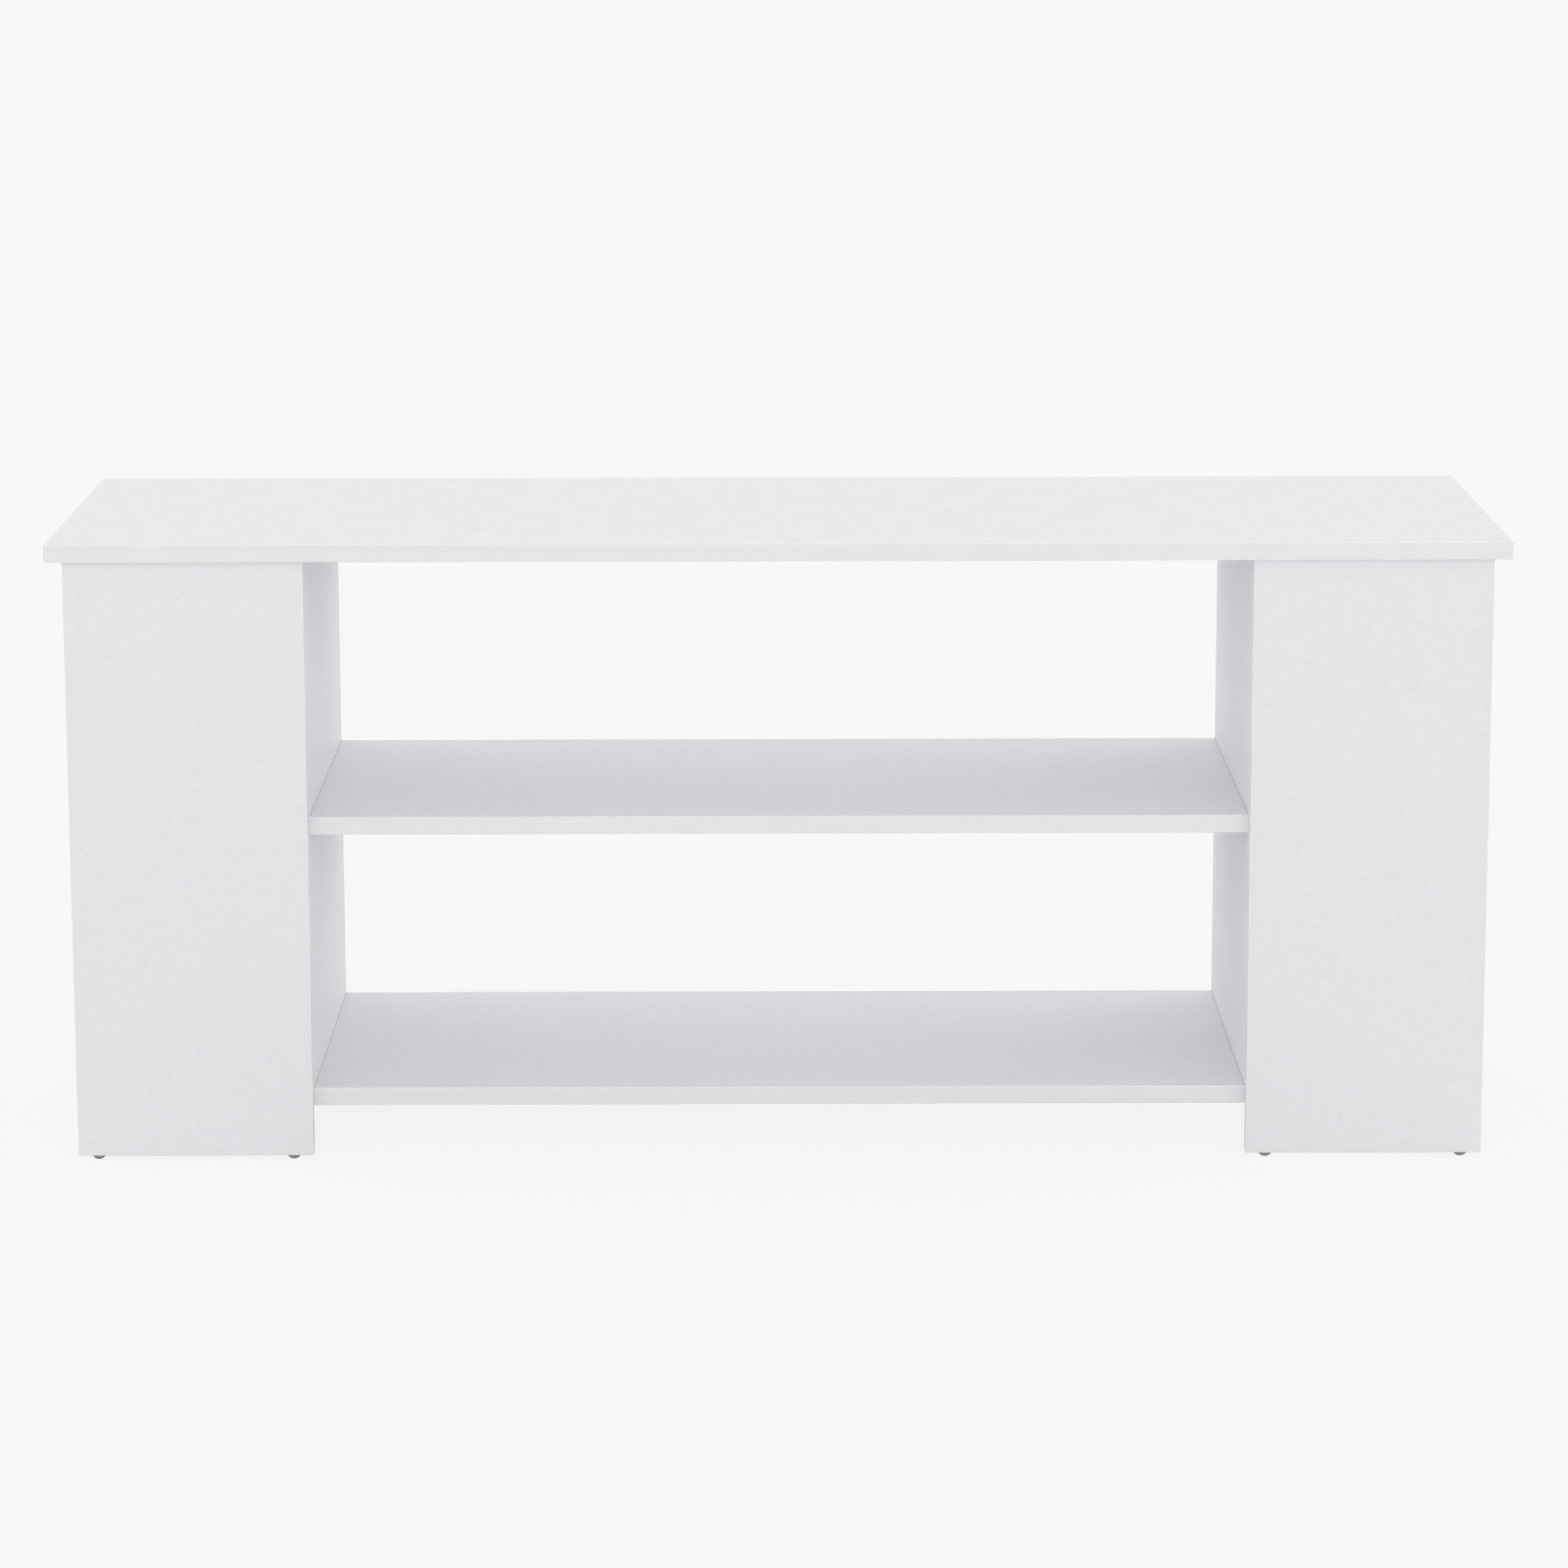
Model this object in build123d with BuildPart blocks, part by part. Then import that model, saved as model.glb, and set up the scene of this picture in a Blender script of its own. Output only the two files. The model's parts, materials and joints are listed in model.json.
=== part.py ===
from build123d import *
from math import atan2, cos, degrees, pi
import os

# A low white console table of melamine boards that comes apart for packing: cam locks, cam bolts
# and wood dowels hold the boards, and nailed glides stand it on the floor. X runs along its length,
# its front faces -Y and Z is up. The origin is on the floor, under the middle of the top. Sizes are
# in millimetres.

# The table's outside
top_length = 1220.0
top_depth = 400.0
overall_height = 529.0
column_width = 200.0
end_overhang = 14.0  # top beyond the columns' open ends
front_overhang = 5.0
rear_overhang = 30.0
leg_reach = 40.0  # front and rear panels below the bottom shelf

# Boards and the bands glued to their open edges
board = 15.0
band = 1.0
band_bevel = 0.6
band_trim = 0.1  # hairline where a strip is trimmed against the next

# Fasteners and their bores repeat many times, so their rounds have few sides, sized across the flats
cam_sides = 12
bolt_sides = 6
dowel_sides = 8
nail_sides = 6
glide_sides = 12

# Cam lock, turned in a blind bore to draw the bolt's head in
cam_radius = 7.4
cam_bore_gap = 0.1
cam_sink = 0.2  # cam's face below the board's face
cam_skin = 3.0  # board left under the cam's bore
cam_setback = 24.0  # from the joint to the cam's axis
cam_slot_angles = (95.0, 155.0, 215.0)  # rays of the neck's slot, with the bolt at 180 degrees
driver_length = 9.0  # slot for the screwdriver
driver_width = 1.6
driver_depth = 1.8

# Cam bolt, screwed into the face of the next board
thread_radius = 2.5
thread_gap = 0.05
pilot_skin = 3.0  # board left under the pilot hole
bolt_end_gap = 0.5
shank_radius = 3.0
neck_radius = 1.9
neck_lead = 1.5  # neck outside the cam
head_radius = 3.1
head_length = 3.2
bolt_bore_gap = 0.9  # bore in the board's edge, around the head
grip_gap = 0.4  # cam around the bolt's head and neck

# Wood dowel, glued into one board and pushed into the next
dowel_radius = 4.0
dowel_length = 30.0
dowel_gap = 0.05
dowel_end_gap = 0.5
dowel_skin = 4.5  # board left under the dowel's hole

# Floor glide, a plastic dome moulded on the head of a nail
glide_radius = 6.0
glide_height = 4.0
glide_rim = 0.8
glide_shoulder = 4.9  # radius half way down the dome
glide_flat = 2.8  # radius of the flat that meets the floor
glide_floor = 1.2  # plastic under the nail's head
glide_inset = 17.0  # from a panel's side to the glide's axis
nail_radius = 0.9
nail_head_radius = 2.4
nail_head = 1.0
nail_reach = 15.0
nail_gap = 0.05

# Places of the fasteners along their joints
shelf_cam_inset = 45.0
partition_cam_inset = 50.0
partition_dowel_inset = 110.0
column_dowel_drop = 60.0  # dowel below the cam of the same bay
panel_dowel_offset = 50.0
end_dowel_inset = 80.0

# Faces that the boards share
top_underside = overall_height - board
front_face = front_overhang - top_depth / 2
front_back = front_face + board
rear_face = top_depth / 2 - rear_overhang
rear_inside = rear_face - board
column_outside = top_length / 2 - end_overhang
column_inside = column_outside - column_width
partition_outside = column_inside + board
panel_bottom = glide_height
low_underside = panel_bottom + leg_reach
low_top = low_underside + board
bay_height = (top_underside - low_top - board) / 2
middle_underside = low_top + bay_height
middle_top = middle_underside + board

# Middle lines of the boards and of the spaces between them
front_middle = (front_face + front_back) / 2
rear_middle = (rear_inside + rear_face) / 2
partition_middle = column_inside + board / 2
panel_middle = (column_inside + column_outside) / 2
end_middle = (partition_outside + column_outside) / 2
shelf_middle = (front_back + rear_face) / 2
shelf_levels = {"middle": middle_underside + board / 2, "bottom": low_underside + board / 2}
bay_middles = [low_top + bay_height / 2, middle_top + bay_height / 2]

# Bores
cam_bore_depth = board - cam_skin
cam_bore_radius = cam_radius + cam_bore_gap
bolt_bore_radius = head_radius + bolt_bore_gap
pilot_depth = board - pilot_skin
pilot_radius = thread_radius + thread_gap
dowel_face_depth = board - dowel_skin
dowel_edge_depth = dowel_length + 2 * dowel_end_gap - dowel_face_depth
dowel_bore_radius = dowel_radius + dowel_gap
nail_bore_radius = nail_radius + nail_gap

up = Vector(0, 0, 1)
down = Vector(0, 0, -1)
to_front = Vector(0, -1, 0)
to_rear = Vector(0, 1, 0)
hands = {"left": -1, "right": 1}

os.makedirs("parts", exist_ok=True)


def write_piece(piece, name):
    piece.part.label = name
    export_step(piece.part, f"parts/{name}.step")


# A fastener's seat lies on the face where two boards meet. Its z runs into the board that meets the
# other with its edge, and its x points to the face of that board where the cam is turned.
def seat(x, y, z, into, open_side):
    return Plane(origin=(x, y, z), x_dir=open_side, z_dir=into)


def turned(place):
    return Plane(origin=place.origin, x_dir=place.x_dir, z_dir=-place.z_dir)


def cam_mouth(place):
    middle = place.origin + place.z_dir * cam_setback + place.x_dir * (board / 2)
    return Plane(origin=middle, x_dir=place.z_dir, z_dir=place.x_dir)


# Joints, keyed by the board whose face takes the bolt or dowel and the board whose edge takes it
cam_joints = {}
dowel_joints = {}
glide_places = {}
partition_rows = [front_back + partition_cam_inset, rear_face - partition_cam_inset]
partition_dowel_rows = [front_back + partition_dowel_inset, rear_face - partition_dowel_inset]
shelf_rows = [front_back + shelf_cam_inset, rear_face - shelf_cam_inset]
end_dowel_rows = [front_back + end_dowel_inset, rear_inside - end_dowel_inset]

for hand, side in hands.items():
    out = Vector(side, 0, 0)
    partition, front, rear = f"partition_{hand}", f"front_panel_{hand}", f"rear_panel_{hand}"
    partition_x, panel_x, end_x = side * partition_middle, side * panel_middle, side * end_middle

    # The top sits on the partitions and on the front and rear panels
    cam_joints["top_panel", partition] = [
        seat(partition_x, y, top_underside, down, out) for y in partition_rows
    ]
    dowel_joints["top_panel", partition] = [
        seat(partition_x, y, top_underside, down, out) for y in partition_dowel_rows
    ]
    cam_joints["top_panel", front] = [seat(panel_x, front_middle, top_underside, down, to_rear)]
    cam_joints["top_panel", rear] = [seat(end_x, rear_middle, top_underside, down, to_front)]
    dowel_joints["top_panel", front] = [
        seat(panel_x + step, front_middle, top_underside, down, to_rear)
        for step in (-panel_dowel_offset, panel_dowel_offset)
    ]
    dowel_joints["top_panel", rear] = [
        seat(end_x + step, rear_middle, top_underside, down, to_front)
        for step in (-panel_dowel_offset, panel_dowel_offset)
    ]

    # The partition stands behind the front panel, and the rear panel butts on the partition
    cam_joints[front, partition] = [
        seat(partition_x, front_back, z, to_rear, out) for z in bay_middles
    ]
    dowel_joints[front, partition] = [
        seat(partition_x, front_back, z - column_dowel_drop, to_rear, out) for z in bay_middles
    ]
    dowel_joints[partition, rear] = [
        seat(side * partition_outside, rear_middle, z, out, to_front) for z in bay_middles
    ]

    # Shelves hang between the partitions, and the column's own boards between its three panels
    for level, z in shelf_levels.items():
        shelf = f"{level}_shelf"
        end_board = f"end_{'shelf' if level == 'middle' else 'floor'}_{hand}"
        cam_joints[partition, shelf] = [
            seat(side * column_inside, y, z, -out, down) for y in shelf_rows
        ]
        dowel_joints[partition, shelf] = [seat(side * column_inside, shelf_middle, z, -out, down)]
        cam_joints[front, end_board] = [seat(end_x, front_back, z, to_rear, down)]
        cam_joints[rear, end_board] = [seat(end_x, rear_inside, z, to_front, down)]
        dowel_joints[partition, end_board] = [
            seat(side * partition_outside, y, z, out, down) for y in end_dowel_rows
        ]

    # Glides under the ends of the panels that reach the floor
    for panel, inside, y in ((front, column_inside, front_middle), (rear, partition_outside, rear_middle)):
        glide_places[panel] = [
            Plane(origin=(side * x, y, panel_bottom), z_dir=down)
            for x in (inside + glide_inset, column_outside - glide_inset)
        ]


def bore(places, radius, depth, sides):
    with BuildSketch(*places) as mouths:
        RegularPolygon(radius, sides, major_radius=False)
    extrude(mouths.sketch, amount=-depth, mode=Mode.SUBTRACT)


def prism(radius, start, end, sides, taper=0, mode=Mode.ADD):
    with BuildSketch(Plane.XY.offset(start)) as section:
        RegularPolygon(radius, sides, major_radius=False)
    extrude(section.sketch, amount=end - start, taper=taper, mode=mode)


def bore_joints(name):
    for (face_board, edge_board), places in cam_joints.items():
        if face_board == name:
            bore(places, pilot_radius, pilot_depth, bolt_sides)
        if edge_board == name:
            bore([turned(place) for place in places], bolt_bore_radius, cam_setback, bolt_sides)
            bore([cam_mouth(place) for place in places], cam_bore_radius, cam_bore_depth, cam_sides)
    for (face_board, edge_board), places in dowel_joints.items():
        if face_board == name:
            bore(places, dowel_bore_radius, dowel_face_depth, dowel_sides)
        if edge_board == name:
            bore([turned(place) for place in places], dowel_bore_radius, dowel_edge_depth, dowel_sides)


def bore_nails(name):
    if name in glide_places:
        bore(glide_places[name], nail_bore_radius, nail_reach, nail_sides)


# One strip of edge band, with its two outer corners bevelled
def band_strip(face, outward, reach, run, shift):
    along = outward.cross(face.z_dir)
    start = face.origin + outward * reach - along * (run / 2) + face.y_dir * shift
    with BuildSketch(Plane(origin=start, x_dir=outward, z_dir=along)) as section:
        with Locations((-band / 2, board / 2)):
            Rectangle(band, board)
        chamfer(section.vertices().group_by(Axis.X)[-1], min(band_bevel, 0.9 * band))
    extrude(section.sketch, amount=run)


# A board and its bands. The plane lies on the board's lower face, at the middle of its outline, with
# x along the length; ends and sides say which edges are banded, the lower of each pair first.
def cut_board(name, face, length, width, ends, sides):
    low_end, high_end = [band * banded for banded in ends]
    low_side, high_side = [band * banded for banded in sides]
    low_trim, high_trim = [(band + band_trim) * banded for banded in sides]
    with BuildPart() as core:
        with BuildSketch(face):
            with Locations(((low_end - high_end) / 2, (low_side - high_side) / 2)):
                Rectangle(length - low_end - high_end, width - low_side - high_side)
        extrude(amount=board)
        bore_joints(name)
        bore_nails(name)
    write_piece(core, name)

    with BuildPart() as bands:
        for outward, banded in zip((-face.y_dir, face.y_dir), sides):
            if banded:
                band_strip(face, outward, width / 2, length, 0)
        for outward, banded in zip((-face.x_dir, face.x_dir), ends):
            if banded:
                run = width - low_trim - high_trim
                band_strip(face, outward, length / 2, run, (low_trim - high_trim) / 2)
        bore_nails(name)
    write_piece(bands, f"{name}_edge_band")


# Top, banded all round
cut_board(
    "top_panel",
    Plane.XY.offset(top_underside),
    top_length,
    top_depth,
    ends=(True, True),
    sides=(True, True),
)

# Middle and bottom shelves, between the partitions
for level, z in shelf_levels.items():
    cut_board(
        f"{level}_shelf",
        Plane(origin=(0, shelf_middle, z - board / 2), z_dir=up),
        2 * column_inside,
        rear_face - front_back,
        ends=(False, False),
        sides=(True, True),
    )

for hand, side in hands.items():
    # Front panel, one blank board from the top to the floor
    cut_board(
        f"front_panel_{hand}",
        Plane(
            origin=(side * panel_middle, front_face, (panel_bottom + top_underside) / 2),
            x_dir=up,
            z_dir=to_rear,
        ),
        top_underside - panel_bottom,
        column_width,
        ends=(True, False),
        sides=(True, True),
    )

    # Rear panel, set in against the partition
    cut_board(
        f"rear_panel_{hand}",
        Plane(
            origin=(side * end_middle, rear_inside, (panel_bottom + top_underside) / 2),
            x_dir=up,
            z_dir=to_rear,
        ),
        top_underside - panel_bottom,
        column_outside - partition_outside,
        ends=(True, False),
        sides=(side < 0, side > 0),
    )

    # Partition, from the bottom shelf's underside to the top
    cut_board(
        f"partition_{hand}",
        Plane(
            origin=(
                side * partition_middle - board / 2,
                shelf_middle,
                (low_underside + top_underside) / 2,
            ),
            x_dir=up,
            z_dir=(1, 0, 0),
        ),
        top_underside - low_underside,
        rear_face - front_back,
        ends=(True, False),
        sides=(True, False),
    )

    # End shelf and end floor, open at the table's end
    for name, level in (("end_shelf", "middle"), ("end_floor", "bottom")):
        cut_board(
            f"{name}_{hand}",
            Plane(
                origin=(
                    side * end_middle,
                    (front_back + rear_inside) / 2,
                    shelf_levels[level] - board / 2,
                ),
                z_dir=up,
            ),
            column_outside - partition_outside,
            rear_inside - front_back,
            ends=(side < 0, side > 0),
            sides=(False, False),
        )

# Cam lock, in its bore's own frame: its face is at the bore's mouth and the bolt comes in from -X
bolt_depth = -board / 2
head_corner = head_radius / cos(pi / bolt_sides)
neck_corner = neck_radius / cos(pi / bolt_sides)
head_room = head_corner + grip_gap
neck_room = neck_corner + grip_gap
chamber_radius = (head_corner**2 + (head_length / 2) ** 2) ** 0.5 + grip_gap
slot_rays = [Vector(2 * cam_radius, 0).rotate(Axis.Z, angle) for angle in cam_slot_angles]
way_in = Plane(origin=(0, 0, bolt_depth), x_dir=up, z_dir=slot_rays[0])
with BuildPart() as cam_lock:
    prism(cam_radius, -cam_bore_depth, -cam_sink, cam_sides)
    # Chamber for the bolt's head, with the way in that the head takes
    prism(
        chamber_radius, bolt_depth - head_room, bolt_depth + head_room, bolt_sides, mode=Mode.SUBTRACT
    )
    with BuildSketch(way_in):
        Rectangle(2 * head_room, 2 * head_room)
    extrude(amount=2 * cam_radius, mode=Mode.SUBTRACT)
    # Slot that the bolt's neck runs along as the cam turns
    with BuildSketch(Plane.XY.offset(bolt_depth - neck_room)):
        with BuildLine():
            Polyline((0, 0), *slot_rays, close=True)
        make_face()
    extrude(amount=2 * neck_room, mode=Mode.SUBTRACT)
    with BuildSketch(Plane.XY.offset(-cam_sink)):
        Rectangle(driver_length, driver_width)
    extrude(amount=-driver_depth, mode=Mode.SUBTRACT)

# Cam bolt, in its seat's frame: thread down into one board, head at the cam's axis in the other
neck_start = cam_setback - cam_radius - neck_lead
head_start = cam_setback - head_length / 2
with BuildPart() as cam_bolt:
    prism(thread_radius, bolt_end_gap - pilot_depth, 0, bolt_sides)
    prism(shank_radius, 0, neck_start, bolt_sides)
    prism(neck_radius, neck_start, head_start, bolt_sides)
    prism(head_radius, head_start, head_start + head_length, bolt_sides)

# Wood dowel, in its seat's frame
with BuildPart() as wood_dowel:
    prism(
        dowel_radius, dowel_end_gap - dowel_face_depth, dowel_edge_depth - dowel_end_gap, dowel_sides
    )

# Glide, in the frame of its panel's lower edge: z runs down to the floor
dome_half = (glide_height - glide_rim) / 2
shoulder_taper = degrees(atan2(glide_radius - glide_shoulder, dome_half))
flat_taper = degrees(atan2(glide_shoulder - glide_flat, dome_half))
head_low = glide_height - glide_floor
head_top = head_low - nail_head
with BuildPart() as glide:
    prism(glide_radius, 0, glide_rim, glide_sides)
    prism(glide_radius, glide_rim, glide_rim + dome_half, glide_sides, shoulder_taper)
    prism(glide_shoulder, glide_height - dome_half, glide_height, glide_sides, flat_taper)
    prism(nail_radius + nail_gap, 0, head_top, nail_sides, mode=Mode.SUBTRACT)
    prism(
        nail_head_radius + nail_gap,
        head_top - nail_gap,
        head_low + nail_gap,
        nail_sides,
        mode=Mode.SUBTRACT,
    )

with BuildPart() as glide_nail:
    prism(nail_radius, nail_gap - nail_reach, head_top, nail_sides)
    prism(nail_head_radius, head_top, head_low, nail_sides)


# Each kind of fastener is one group of separate pieces
def write_group(name, piece, places):
    with BuildPart() as group:
        with Locations(*places):
            add(piece.part)
    write_piece(group, name)


cam_seats = [place for places in cam_joints.values() for place in places]
dowel_seats = [place for places in dowel_joints.values() for place in places]
glide_seats = [place for places in glide_places.values() for place in places]
write_group("cam_locks", cam_lock, [cam_mouth(place) for place in cam_seats])
write_group("cam_bolts", cam_bolt, cam_seats)
write_group("wood_dowels", wood_dowel, dowel_seats)
write_group("floor_glides", glide, glide_seats)
write_group("glide_nails", glide_nail, glide_seats)
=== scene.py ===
import json
from math import pi, radians

import bpy
from mathutils import Matrix, Vector


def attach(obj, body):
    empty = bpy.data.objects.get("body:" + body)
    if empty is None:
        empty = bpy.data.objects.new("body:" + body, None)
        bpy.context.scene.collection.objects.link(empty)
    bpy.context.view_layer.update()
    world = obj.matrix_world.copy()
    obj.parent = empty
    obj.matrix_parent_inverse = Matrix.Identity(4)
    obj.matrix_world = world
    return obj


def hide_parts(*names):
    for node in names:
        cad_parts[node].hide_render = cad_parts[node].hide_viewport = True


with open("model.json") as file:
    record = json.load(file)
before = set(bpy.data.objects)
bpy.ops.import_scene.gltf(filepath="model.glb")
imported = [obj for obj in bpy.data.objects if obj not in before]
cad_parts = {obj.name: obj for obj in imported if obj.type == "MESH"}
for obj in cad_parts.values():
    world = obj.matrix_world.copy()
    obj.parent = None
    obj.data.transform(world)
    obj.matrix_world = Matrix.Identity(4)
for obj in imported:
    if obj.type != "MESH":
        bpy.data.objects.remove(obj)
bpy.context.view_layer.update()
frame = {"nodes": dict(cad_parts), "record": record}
nodes = frame["nodes"]
scene = bpy.context.scene
scene.view_settings.view_transform = "Standard"
print("frame loaded:", len(nodes), "pieces")


# small helpers for node trees

def addNode(tree, kind, **settings):
    node = tree.nodes.new(kind)
    for key, value in settings.items():
        setattr(node, key, value)
    return node


def feed(tree, value, socket):
    if isinstance(value, bpy.types.NodeSocket):
        tree.links.new(value, socket)
    else:
        socket.default_value = value


def calc(tree, operation, first, second=0.0):
    node = addNode(tree, "ShaderNodeMath", operation=operation)
    feed(tree, first, node.inputs[0])
    feed(tree, second, node.inputs[1])
    return node.outputs[0]


def splitAxes(tree, vector):
    node = addNode(tree, "ShaderNodeSeparateXYZ")
    tree.links.new(vector, node.inputs[0])
    return node.outputs


# finishes

def startFinish(name, metallic=0.0):
    finish = bpy.data.materials.new(name)
    finish.use_nodes = True
    tree = finish.node_tree
    shader = tree.nodes["Principled BSDF"]
    shader.inputs["Metallic"].default_value = metallic
    place = addNode(tree, "ShaderNodeTexCoord").outputs["Object"]
    return finish, tree, shader, place


def noise(tree, place, scale, detail=3.0, stretch=(1, 1, 1), shift=(0, 0, 0)):
    mapping = addNode(tree, "ShaderNodeMapping")
    mapping.inputs["Location"].default_value = shift
    mapping.inputs["Scale"].default_value = stretch
    texture = addNode(tree, "ShaderNodeTexNoise")
    texture.inputs["Scale"].default_value = scale
    texture.inputs["Detail"].default_value = detail
    tree.links.new(place, mapping.inputs["Vector"])
    tree.links.new(mapping.outputs["Vector"], texture.inputs["Vector"])
    return texture.outputs["Fac"]


def blendNoise(tree, first, second, share):
    return calc(
        tree, "ADD", calc(tree, "MULTIPLY", first, share), calc(tree, "MULTIPLY", second, 1 - share)
    )


def spread(tree, value, low, high, fromLow=0.3, fromHigh=0.7):
    node = addNode(tree, "ShaderNodeMapRange")
    node.inputs["From Min"].default_value = fromLow
    node.inputs["From Max"].default_value = fromHigh
    node.inputs["To Min"].default_value = low
    node.inputs["To Max"].default_value = high
    tree.links.new(value, node.inputs["Value"])
    return node.outputs["Result"]


def tint(tree, share, first, second):
    node = addNode(tree, "ShaderNodeMix", data_type="RGBA")
    feed(tree, share, node.inputs["Factor"])
    feed(tree, (*first, 1) if isinstance(first, tuple) else first, node.inputs["A"])
    feed(tree, (*second, 1) if isinstance(second, tuple) else second, node.inputs["B"])
    return node.outputs["Result"]


def emboss(tree, shader, height, distance, strength):
    bump = addNode(tree, "ShaderNodeBump")
    bump.inputs["Distance"].default_value = distance
    bump.inputs["Strength"].default_value = strength
    tree.links.new(height, bump.inputs["Height"])
    tree.links.new(bump.outputs["Normal"], shader.inputs["Normal"])


# white melamine with an embossed wood grain along the table
topFinish = {
    "pale": (0.872, 0.874, 0.895),
    "streak": (0.828, 0.83, 0.85),
    "figure": {"scale": 10.0, "detail": 4.0, "stretch": (2.2, 14.0, 14.0)},  # broad figure
    "pores": {"scale": 60.0, "detail": 2.0, "stretch": (1.0, 12.0, 12.0), "shift": (3, 1, 2)},
    "figureShare": 0.6,
    "contrast": (0.375, 0.625),
    "roughness": (0.36, 0.5),
    "depth": 0.00012,
    "bump": 0.5,
}


def makeTopMelamine(look):
    finish, tree, shader, place = startFinish("top_melamine")
    pores = noise(tree, place, **look["pores"])
    grain = blendNoise(tree, noise(tree, place, **look["figure"]), pores, look["figureShare"])
    colour = tint(tree, spread(tree, grain, 0, 1, *look["contrast"]), look["pale"], look["streak"])
    tree.links.new(colour, shader.inputs["Base Color"])
    tree.links.new(spread(tree, pores, *look["roughness"]), shader.inputs["Roughness"])
    emboss(tree, shader, grain, look["depth"], look["bump"])
    return finish


# white melamine with a fine matt pebble
panelFinish = {
    "pale": (0.846, 0.853, 0.874),
    "cloud": (0.816, 0.823, 0.844),
    "clouds": {"scale": 280.0, "detail": 4.0},
    "pebble": {"scale": 620.0, "detail": 2.0, "shift": (1, 2, 3)},
    "cloudShare": 0.7,
    "contrast": (0.36, 0.64),
    "roughness": (0.44, 0.56),
    "depth": 0.00006,
    "bump": 0.5,
    "gapShadowBand": (0.3954, 0.39596),  # painted shadow: a dark line where a shelf's end meets a partition, standing in for the shade of a hairline gap
    "gapShadowColour": (0.5, 0.5, 0.51),
}


def makePanelMelamine(look):
    finish, tree, shader, place = startFinish("panel_melamine")
    pebble = noise(tree, place, **look["pebble"])
    mottle = blendNoise(tree, noise(tree, place, **look["clouds"]), pebble, look["cloudShare"])
    colour = tint(tree, spread(tree, mottle, 0, 1, *look["contrast"]), look["pale"], look["cloud"])
    # painted shadow: a thin dark band on the shelf ends next to the partitions
    reach = calc(tree, "ABSOLUTE", splitAxes(tree, place)["X"])
    start, end = look["gapShadowBand"]
    joint = calc(
        tree, "MULTIPLY", calc(tree, "GREATER_THAN", reach, start), calc(tree, "LESS_THAN", reach, end)
    )
    tree.links.new(tint(tree, joint, colour, look["gapShadowColour"]), shader.inputs["Base Color"])
    tree.links.new(spread(tree, pebble, *look["roughness"]), shader.inputs["Roughness"])
    emboss(tree, shader, pebble, look["depth"], look["bump"])
    return finish


# smooth white edge band
bandFinish = {
    "pale": (0.846, 0.851, 0.869),
    "worn": (0.828, 0.833, 0.852),
    "paleCornerAndHighlight": (0.94, 0.943, 0.95),  # trimmed corner, paler and smoother; the paler colour is partly the whitened trim and partly a painted highlight along the edges
    "cornerSheen": 0.1,
    "squareOn": 0.9,  # a flat face's normal lies this much along one axis
    "ripple": {"scale": 30.0},
    "fine": {"scale": 400.0, "detail": 2.0},
    "roughness": (0.33, 0.43),
    "depth": 0.00004,
    "bump": 0.4,
}


# 1 on the slanted corners of a strip, 0 on its flat faces
def cornerShare(tree, squareOn):
    widest = 0.0
    for axis in splitAxes(tree, addNode(tree, "ShaderNodeNewGeometry").outputs["True Normal"]):
        widest = calc(tree, "MAXIMUM", calc(tree, "ABSOLUTE", axis), widest)
    return calc(tree, "LESS_THAN", widest, squareOn)


def makeEdgeBand(look):
    finish, tree, shader, place = startFinish("edge_band")
    ripple = noise(tree, place, **look["ripple"])
    paleCornerAndHighlight = cornerShare(tree, look["squareOn"])
    plain = tint(tree, spread(tree, ripple, 0, 1), look["pale"], look["worn"])
    # slanted corners get the paler colour: whitened trim and a painted highlight line
    tree.links.new(tint(tree, paleCornerAndHighlight, plain, look["paleCornerAndHighlight"]), shader.inputs["Base Color"])
    smoother = calc(tree, "MULTIPLY", paleCornerAndHighlight, look["cornerSheen"])
    rough = calc(tree, "SUBTRACT", spread(tree, ripple, *look["roughness"]), smoother)
    tree.links.new(rough, shader.inputs["Roughness"])
    emboss(tree, shader, noise(tree, place, **look["fine"]), look["depth"], look["bump"])
    return finish


# finishes of the small pieces, each one mottled between two shades
smallFinishes = {
    "glide_plastic": {  # grey moulded plastic
        "shades": ((0.24, 0.24, 0.25), (0.3, 0.3, 0.31)),
        "mottle": {"scale": 260.0},
        "skin": {"scale": 2200.0, "detail": 2.0},
        "roughness": (0.36, 0.5),
        "depth": 0.00003,
        "bump": 0.5,
    },
    "zinc": {  # die-cast cams
        "metallic": 1.0,
        "shades": ((0.5, 0.5, 0.49), (0.66, 0.66, 0.65)),
        "mottle": {"scale": 700.0, "detail": 4.0},
        "roughness": (0.3, 0.48),
        "depth": 0.00004,
        "bump": 0.4,
    },
    "steel": {  # plated bolts and nails
        "metallic": 1.0,
        "shades": ((0.52, 0.53, 0.54), (0.68, 0.69, 0.7)),
        "mottle": {"scale": 900.0, "detail": 4.0},
        "roughness": (0.2, 0.36),
        "depth": 0.00004,
        "bump": 0.4,
    },
    "beech": {  # dowels
        "shades": ((0.55, 0.36, 0.2), (0.42, 0.25, 0.13)),
        "mottle": {"scale": 500.0, "stretch": (1.0, 1.0, 0.2)},
        "roughness": (0.54, 0.66),
        "depth": 0.00005,
        "bump": 0.5,
    },
}


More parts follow.
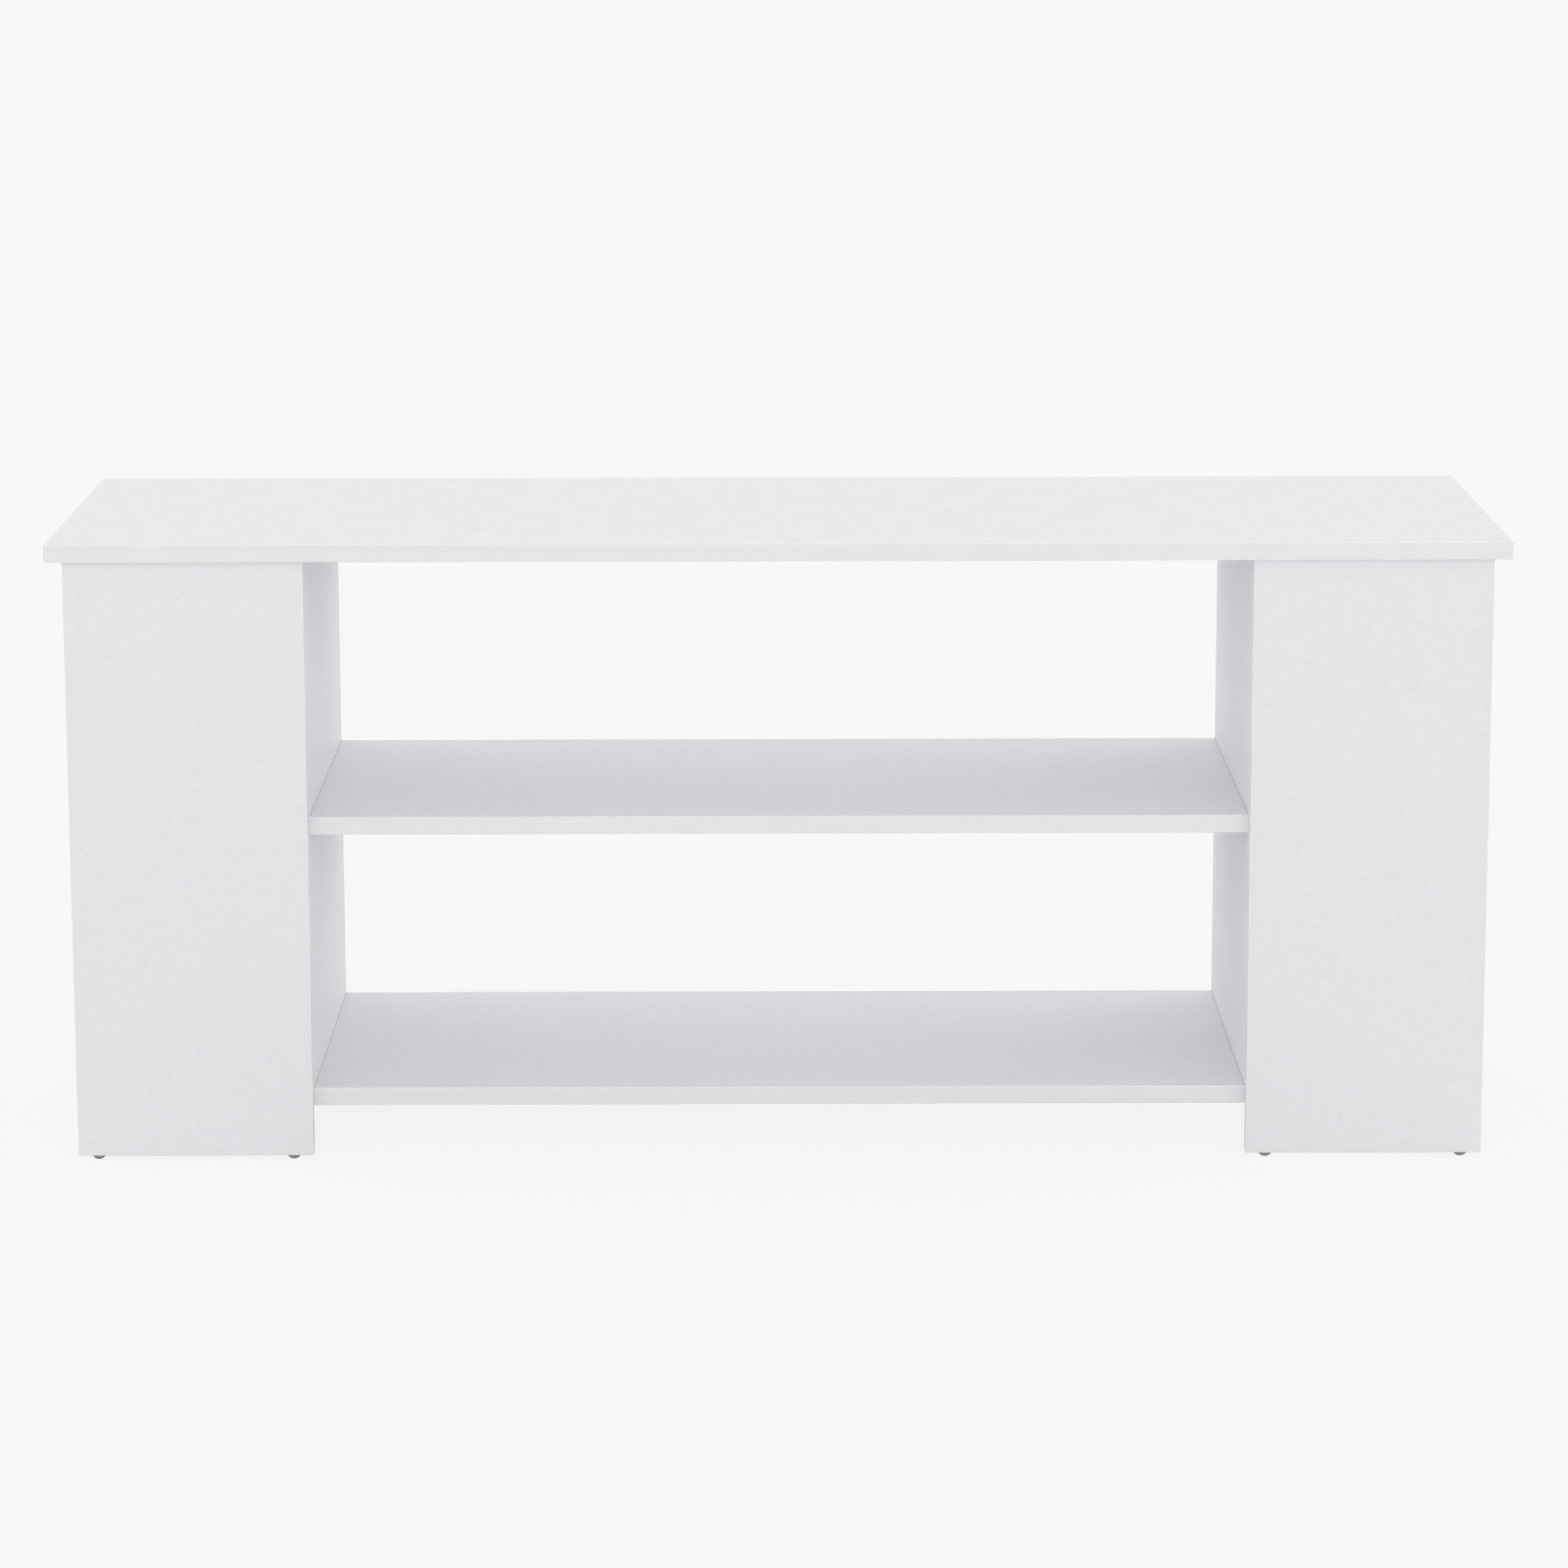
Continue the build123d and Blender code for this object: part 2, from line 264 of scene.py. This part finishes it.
def makeSmallFinish(name, look):
    finish, tree, shader, place = startFinish(name, look.get("metallic", 0.0))
    mottle = noise(tree, place, **look["mottle"])
    skin = noise(tree, place, **look["skin"]) if "skin" in look else mottle
    tree.links.new(tint(tree, spread(tree, mottle, 0, 1), *look["shades"]), shader.inputs["Base Color"])
    tree.links.new(spread(tree, mottle, *look["roughness"]), shader.inputs["Roughness"])
    emboss(tree, shader, skin, look["depth"], look["bump"])
    return finish


finishes = {
    "top_melamine": makeTopMelamine(topFinish),
    "panel_melamine": makePanelMelamine(panelFinish),
    "edge_band": makeEdgeBand(bandFinish),
    **{name: makeSmallFinish(name, look) for name, look in smallFinishes.items()},
}

# every piece of the record takes the finish of its slot
for piece in frame["record"]["subparts"]:
    mesh = nodes[piece["node"]].data
    mesh.materials.clear()
    mesh.materials.append(finishes[piece["material_slot"]])
print("finishes given:", len(finishes))


# pieces that repeat

def startTree(name, inputs):
    tree = bpy.data.node_groups.new(name, "GeometryNodeTree")
    tree.is_modifier = True
    tree.interface.new_socket("Places", in_out="INPUT", socket_type="NodeSocketGeometry")
    for label, (kind, value) in inputs.items():
        socket = tree.interface.new_socket(label, in_out="INPUT", socket_type="NodeSocket" + kind)
        if value is not None:
            socket.default_value = value
    tree.interface.new_socket("Pieces", in_out="OUTPUT", socket_type="NodeSocketGeometry")
    return tree, addNode(tree, "NodeGroupInput").outputs


# a line through one column of a profile, read at its share of the steps
def profileLine(tree, profile, steps, column, along):
    line = addNode(tree, "ShaderNodeFloatCurve")
    curve = line.mapping.curves[0]
    marks = [(row[0] / steps, row[column]) for row in profile]
    curve.points[0].location = marks[0]
    curve.points[1].location = marks[-1]
    for mark in marks[1:-1]:
        curve.points.new(*mark)
    for point in curve.points:
        point.handle_type = "VECTOR"
    line.mapping.update()
    tree.links.new(along, line.inputs["Value"])
    return line.outputs[0]


weldGap = 0.000005  # closes the seam and the poles of a turned piece
smoothAngle = radians(32)


# a profile of (step, reach, level) turned round Z, from the middle of its upper face to the lower
def turnProfile(tree, piece, sides, radius, height):
    grid = addNode(tree, "GeometryNodeMeshGrid")
    grid.inputs["Size X"].default_value = 1
    grid.inputs["Size Y"].default_value = 1
    grid.inputs["Vertices X"].default_value = piece["steps"] + 1
    feed(tree, calc(tree, "ADD", sides, 1), grid.inputs["Vertices Y"])
    axes = splitAxes(tree, addNode(tree, "GeometryNodeInputPosition").outputs[0])
    along = calc(tree, "ADD", axes["X"], 0.5)
    around = calc(tree, "MULTIPLY", calc(tree, "ADD", axes["Y"], 0.5), 2 * pi)
    reach, level = (profileLine(tree, piece["profile"], piece["steps"], column, along) for column in (1, 2))
    reach = calc(tree, "MULTIPLY", reach, radius)
    drop = calc(tree, "MULTIPLY", height, -1)
    spot = addNode(tree, "ShaderNodeCombineXYZ")
    feed(tree, calc(tree, "MULTIPLY", reach, calc(tree, "COSINE", around)), spot.inputs["X"])
    feed(tree, calc(tree, "MULTIPLY", reach, calc(tree, "SINE", around)), spot.inputs["Y"])
    feed(tree, calc(tree, "MULTIPLY", level, drop), spot.inputs["Z"])
    move = addNode(tree, "GeometryNodeSetPosition")
    tree.links.new(grid.outputs["Mesh"], move.inputs["Geometry"])
    tree.links.new(spot.outputs[0], move.inputs["Position"])
    weld = addNode(tree, "GeometryNodeMergeByDistance")
    weld.inputs["Distance"].default_value = weldGap
    tree.links.new(move.outputs[0], weld.inputs["Geometry"])
    return weld.outputs[0]


# one piece on every place, turned to the place's two directions
def endTree(tree, inputs, piece):
    axes = addNode(tree, "FunctionNodeAxesToRotation", primary_axis="Z", secondary_axis="X")
    for label, socket in (("outward", axes.inputs[0]), ("towards", axes.inputs[1])):
        named = addNode(tree, "GeometryNodeInputNamedAttribute", data_type="FLOAT_VECTOR")
        named.inputs["Name"].default_value = label
        tree.links.new(named.outputs["Attribute"], socket)
    repeat = addNode(tree, "GeometryNodeInstanceOnPoints")
    tree.links.new(inputs["Places"], repeat.inputs["Points"])
    tree.links.new(piece, repeat.inputs["Instance"])
    tree.links.new(axes.outputs[0], repeat.inputs["Rotation"])
    real = addNode(tree, "GeometryNodeRealizeInstances")
    tree.links.new(repeat.outputs[0], real.inputs[0])
    faces = addNode(tree, "GeometryNodeSetShadeSmooth", domain="FACE")
    tree.links.new(real.outputs[0], faces.inputs["Geometry"])
    angle = addNode(tree, "GeometryNodeInputMeshEdgeAngle").outputs["Unsigned Angle"]
    edges = addNode(tree, "GeometryNodeSetShadeSmooth", domain="EDGE")
    tree.links.new(faces.outputs[0], edges.inputs["Geometry"])
    tree.links.new(calc(tree, "LESS_THAN", angle, smoothAngle), edges.inputs["Shade Smooth"])
    dress = addNode(tree, "GeometryNodeSetMaterial")
    tree.links.new(edges.outputs[0], dress.inputs["Geometry"])
    tree.links.new(inputs["Finish"], dress.inputs["Material"])
    output = addNode(tree, "NodeGroupOutput")
    tree.links.new(dress.outputs[0], output.inputs[0])


# runs a tree on a list of (place, outward, towards) and keeps the plain mesh
def growPieces(name, tree, values, places):
    mesh = bpy.data.meshes.new(name)
    mesh.from_pydata([place for place, outward, towards in places], [], [])
    for label, column in (("outward", 1), ("towards", 2)):
        layer = mesh.attributes.new(label, "FLOAT_VECTOR", "POINT")
        for spot, row in zip(layer.data, places):
            spot.vector = row[column]
    piece = bpy.data.objects.new(name, mesh)
    scene.collection.objects.link(piece)
    grow = piece.modifiers.new("grow", "NODES")
    grow.node_group = tree
    for item in tree.interface.items_tree:
        if item.in_out == "INPUT" and item.name in values:
            grow[item.identifier] = values[item.name]
    graph = bpy.context.evaluated_depsgraph_get()
    made = bpy.data.meshes.new_from_object(piece.evaluated_get(graph), depsgraph=graph)
    made.name = name
    piece.modifiers.remove(grow)
    piece.data = made
    for label in ("outward", "towards"):
        if label in made.attributes:
            made.attributes.remove(made.attributes[label])
    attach(piece, "root")
    return piece


# where the boards meet, in metres
joints = {
    "columnInside": 0.396,
    "partitionOutside": 0.411,
    "columnOutside": 0.596,
    "frontFace": -0.195,
    "frontBack": -0.18,
    "rearInside": 0.155,
    "rearFace": 0.17,
    "panelBottom": 0.004,
    "topUnderside": 0.514,
    "shelfUndersides": (0.279, 0.044),
    "bayMiddles": (0.404, 0.169),
}

# floor glides: a plastic dome with a short rim, under each end of the four panels on the floor
glide = {
    "Radius": 0.006,
    "Height": 0.004,
    "Sides": 40,
    "inset": 0.017,
    "steps": 20,
    "profile": (  # step, reach, level
        (0, 0, 0), (1, 0.95, 0), (2, 1, 0.04), (3, 1, 0.17), (4, 0.985, 0.24), (5, 0.955, 0.33),
        (6, 0.915, 0.43), (7, 0.865, 0.53), (8, 0.805, 0.62), (9, 0.74, 0.71), (10, 0.67, 0.79),
        (11, 0.61, 0.86), (12, 0.56, 0.92), (13, 0.51, 0.965), (14, 0.47, 0.99), (15, 0.42, 1),
        (20, 0, 1),
    ),
}


def makeGlides():
    tree, inputs = startTree("glides", {
        "Radius": ("Float", glide["Radius"]),
        "Height": ("Float", glide["Height"]),
        "Sides": ("Int", glide["Sides"]),
        "Finish": ("Material", None),
    })
    endTree(tree, inputs, turnProfile(tree, glide, inputs["Sides"], inputs["Radius"], inputs["Height"]))
    frontMiddle = (joints["frontFace"] + joints["frontBack"]) / 2
    rearMiddle = (joints["rearInside"] + joints["rearFace"]) / 2
    places = []
    for side in (-1, 1):
        for inner, y in ((joints["columnInside"], frontMiddle), (joints["partitionOutside"], rearMiddle)):
            for x in (inner + glide["inset"], joints["columnOutside"] - glide["inset"]):
                places.append(((side * x, y, joints["panelBottom"]), (0, 0, 1), (side, 0, 0)))
    values = {key: glide[key] for key in ("Radius", "Height", "Sides")}
    values["Finish"] = finishes["glide_plastic"]
    piece = growPieces("moulded_glides", tree, values, places)
    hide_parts("floor_glides")
    print("glides made:", len(places))


makeGlides()

# cam locks: a turned drum with a screwdriver cross, an arrow and the slot that draws the bolt's head in
cam = {
    "Radius": 0.0074,
    "Depth": 0.0118,
    "Sides": 40,
    "Cross Length": 0.0078,
    "Cross Width": 0.0016,
    "Cross Depth": 0.0022,
    "Head Room": 0.0079,
    "Neck Room": 0.0052,
    "arrow": (0.0016, 0.0016, 0.0012),
    "arrowReach": 0.0054,
    "arrowTurn": 45,
    "headTurn": 5,  # degrees, as the other turns
    "neckTurn": -45,
    "neckShift": 0.7,
    "sink": 0.0002,
    "setback": 0.024,
    "boltDepth": 0.0075,
    "steps": 8,
    "profile": (  # step, reach, level
        (0, 0, 0.03), (1, 0.8, 0.03), (2, 0.85, 0), (3, 0.94, 0), (4, 1, 0.035), (5, 1, 0.965),
        (6, 0.95, 1), (8, 0, 1),
    ),
    "partitionInset": 0.05,
    "shelfInset": 0.045,
}


def block(tree, length, width, height, place, turn=0.0):
    cube = addNode(tree, "GeometryNodeMeshCube")
    size = addNode(tree, "ShaderNodeCombineXYZ")
    for value, socket in zip((length, width, height), size.inputs):
        feed(tree, value, socket)
    tree.links.new(size.outputs[0], cube.inputs["Size"])
    move = addNode(tree, "GeometryNodeTransform")
    move.inputs["Translation"].default_value = place
    move.inputs["Rotation"].default_value = (0, 0, radians(turn))
    tree.links.new(cube.outputs["Mesh"], move.inputs["Geometry"])
    return move.outputs[0]


# what is cut out of the drum
def camCuts(tree, inputs):
    low = cam["sink"] - cam["boltDepth"]
    half = cam["Radius"]
    shift = half * cam["neckShift"]
    length, width, head, neck = (
        inputs[key] for key in ("Cross Length", "Cross Width", "Head Room", "Neck Room")
    )
    deep = calc(tree, "MULTIPLY", inputs["Cross Depth"], 2)
    return [
        block(tree, length, width, deep, (0, 0, 0)),
        block(tree, width, length, deep, (0, 0, 0)),
        block(tree, *cam["arrow"], (cam["arrowReach"], 0, 0), cam["arrowTurn"]),
        block(tree, head, head, head, (0, 0, low)),
        block(tree, head, 2 * half, head, (0, -half, low), cam["headTurn"]),
        block(tree, 2 * half, neck, neck, (half, 0, low)),
        block(tree, 2 * half, neck, neck, (shift, -shift, low), cam["neckTurn"]),
    ]


# where each cam's joint is, the way its face looks and the way to its bolt
def camSeats():
    up, forward, back, down = (Vector(way) for way in ((0, 0, 1), (0, -1, 0), (0, 1, 0), (0, 0, -1)))
    front, rear, high = joints["frontBack"], joints["rearInside"], joints["topUnderside"]
    partitionRows, shelfRows = (
        (front + cam[inset], joints["rearFace"] - cam[inset]) for inset in ("partitionInset", "shelfInset")
    )
    seats = []
    for side in (-1, 1):
        out = Vector((side, 0, 0))
        inner = side * joints["columnInside"]
        outer = side * joints["partitionOutside"]
        endMiddle = side * (joints["partitionOutside"] + joints["columnOutside"]) / 2
        panelMiddle = side * (joints["columnInside"] + joints["columnOutside"]) / 2
        seats += [((outer, y, high), out, up) for y in partitionRows]
        seats.append(((panelMiddle, front, high), back, up))
        seats.append(((endMiddle, rear, high), forward, up))
        seats += [((outer, front, z), out, forward) for z in joints["bayMiddles"]]
        for z in joints["shelfUndersides"]:
            seats += [((inner, y, z), down, out) for y in shelfRows]
            seats.append(((endMiddle, front, z), down, forward))
            seats.append(((endMiddle, rear, z), down, back))
    return seats


def makeCams():
    sizes = ("Radius", "Depth", "Cross Length", "Cross Width", "Cross Depth", "Head Room", "Neck Room")
    tree, inputs = startTree("cams", {
        **{key: ("Float", cam[key]) for key in sizes},
        "Sides": ("Int", cam["Sides"]),
        "Finish": ("Material", None),
    })
    drum = turnProfile(tree, cam, inputs["Sides"], inputs["Radius"], inputs["Depth"])
    cut = addNode(tree, "GeometryNodeMeshBoolean", operation="DIFFERENCE", solver="EXACT")
    tree.links.new(drum, cut.inputs["Mesh 1"])
    for tool in camCuts(tree, inputs):
        tree.links.new(tool, cut.inputs["Mesh 2"])
    endTree(tree, inputs, cut.outputs["Mesh"])
    places = []
    for joint, outward, towards in camSeats():
        spot = Vector(joint) - towards * cam["setback"] - outward * cam["sink"]
        places.append((tuple(spot), tuple(outward), tuple(towards)))
    values = {key: cam[key] for key in (*sizes, "Sides")}
    values["Finish"] = finishes["zinc"]
    piece = growPieces("cast_cams", tree, values, places)
    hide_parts("cam_locks")
    print("cams made:", len(places))


makeCams()

# floor, light and camera
studio = {
    "ground": 0.939,  # the even pale ground behind the table
    "glow": 0.95,  # the same ground on the floor
    "floorColour": 0.85,
    "floorShare": 0.08,  # how much of the table's shadow shows
    "floorSize": 60.0,
    "allRound": 0.66,  # even light from every side
    "wallEdge": 6.0,  # how fast a wall of light fades to its edge
}
# soft walls of light: degrees round from the front to the right, degrees up, strength
lightWalls = {
    "front": (0, 8, 0.9),
    "frontRight": (45, 8, 0.43),
    "backRight": (135, 8, 1.54),
    "backLeft": (225, 8, 0.89),
    "left": (270, 8, 0.95),
}


def seenDirectly(tree):
    path = addNode(tree, "ShaderNodeLightPath").outputs
    share = calc(tree, "MAXIMUM", path["Is Camera Ray"], path["Is Glossy Ray"])
    return calc(tree, "MAXIMUM", share, path["Is Transmission Ray"])


def grey(level):
    return (level, level, level, 1)


def mixShaders(tree, share, first, second):
    mix = addNode(tree, "ShaderNodeMixShader")
    tree.links.new(share, mix.inputs[0])
    tree.links.new(first.outputs[0], mix.inputs[1])
    tree.links.new(second.outputs[0], mix.inputs[2])
    return mix


def makeFloor():
    half = studio["floorSize"] / 2
    corners = [(-half, -half, 0), (half, -half, 0), (half, half, 0), (-half, half, 0)]
    mesh = bpy.data.meshes.new("floor")
    mesh.from_pydata(corners, [], [(0, 1, 2, 3)])
    floor = bpy.data.objects.new("floor", mesh)
    scene.collection.objects.link(floor)
    finish = bpy.data.materials.new("floor")
    finish.use_nodes = True
    tree = finish.node_tree
    tree.nodes.clear()
    paint = addNode(tree, "ShaderNodeBsdfDiffuse")
    paint.inputs["Color"].default_value = grey(studio["floorColour"])
    glow = addNode(tree, "ShaderNodeEmission")
    glow.inputs["Color"].default_value = grey(studio["glow"])
    share = calc(tree, "MULTIPLY", seenDirectly(tree), 1 - studio["floorShare"])
    ground = mixShaders(tree, share, paint, glow)
    below = addNode(tree, "ShaderNodeNewGeometry").outputs["Backfacing"]
    sides = mixShaders(tree, below, ground, addNode(tree, "ShaderNodeBsdfTransparent"))  # clear from below
    output = addNode(tree, "ShaderNodeOutputMaterial")
    tree.links.new(sides.outputs[0], output.inputs["Surface"])
    mesh.materials.append(finish)


def makeWorld():
    world = bpy.data.worlds.new("studio")
    scene.world = world
    world.use_nodes = True
    tree = world.node_tree
    tree.nodes.clear()
    ray = addNode(tree, "ShaderNodeTexCoord").outputs["Generated"]
    total = studio["allRound"]
    for around, up, strength in lightWalls.values():
        turn = Matrix.Rotation(radians(around), 3, "Z") @ Matrix.Rotation(radians(-up), 3, "X")
        facing = addNode(tree, "ShaderNodeVectorMath", operation="DOT_PRODUCT")
        tree.links.new(ray, facing.inputs[0])
        facing.inputs[1].default_value = turn @ Vector((0, -1, 0))
        near = calc(tree, "MAXIMUM", facing.outputs["Value"], 0.0)
        wall = calc(tree, "MULTIPLY", calc(tree, "POWER", near, studio["wallEdge"]), strength)
        total = calc(tree, "ADD", wall, total)
    soft = addNode(tree, "ShaderNodeBackground")
    soft.inputs["Color"].default_value = grey(1)
    tree.links.new(total, soft.inputs["Strength"])
    plain = addNode(tree, "ShaderNodeBackground")
    plain.inputs["Color"].default_value = grey(studio["ground"])
    mix = mixShaders(tree, seenDirectly(tree), soft, plain)
    output = addNode(tree, "ShaderNodeOutputWorld")
    tree.links.new(mix.outputs[0], output.inputs["Surface"])


# the photograph's view, straight on and a little from above
view = {
    "place": (-0.00559, -4.52827, 1.18278),
    "turn": radians(0.1306),
    "tilt": radians(11.2019),
    "roll": radians(0.1169),
    "lens": 121.02,
    "sensor": 36,
    "farthest": 200,
}


def makeCamera():
    camera = bpy.data.objects.new("camera", bpy.data.cameras.new("camera"))
    scene.collection.objects.link(camera)
    camera.data.sensor_width = view["sensor"]
    camera.data.lens = view["lens"]
    camera.data.clip_end = view["farthest"]
    turn = Matrix.Rotation(-view["turn"], 4, "Z") @ Matrix.Rotation(pi / 2 - view["tilt"], 4, "X")
    roll = Matrix.Rotation(-view["roll"], 4, "Z")
    camera.matrix_world = Matrix.Translation(view["place"]) @ turn @ roll
    scene.camera = camera


makeFloor()
makeWorld()
makeCamera()
print("studio ready:", len(lightWalls), "walls of light")
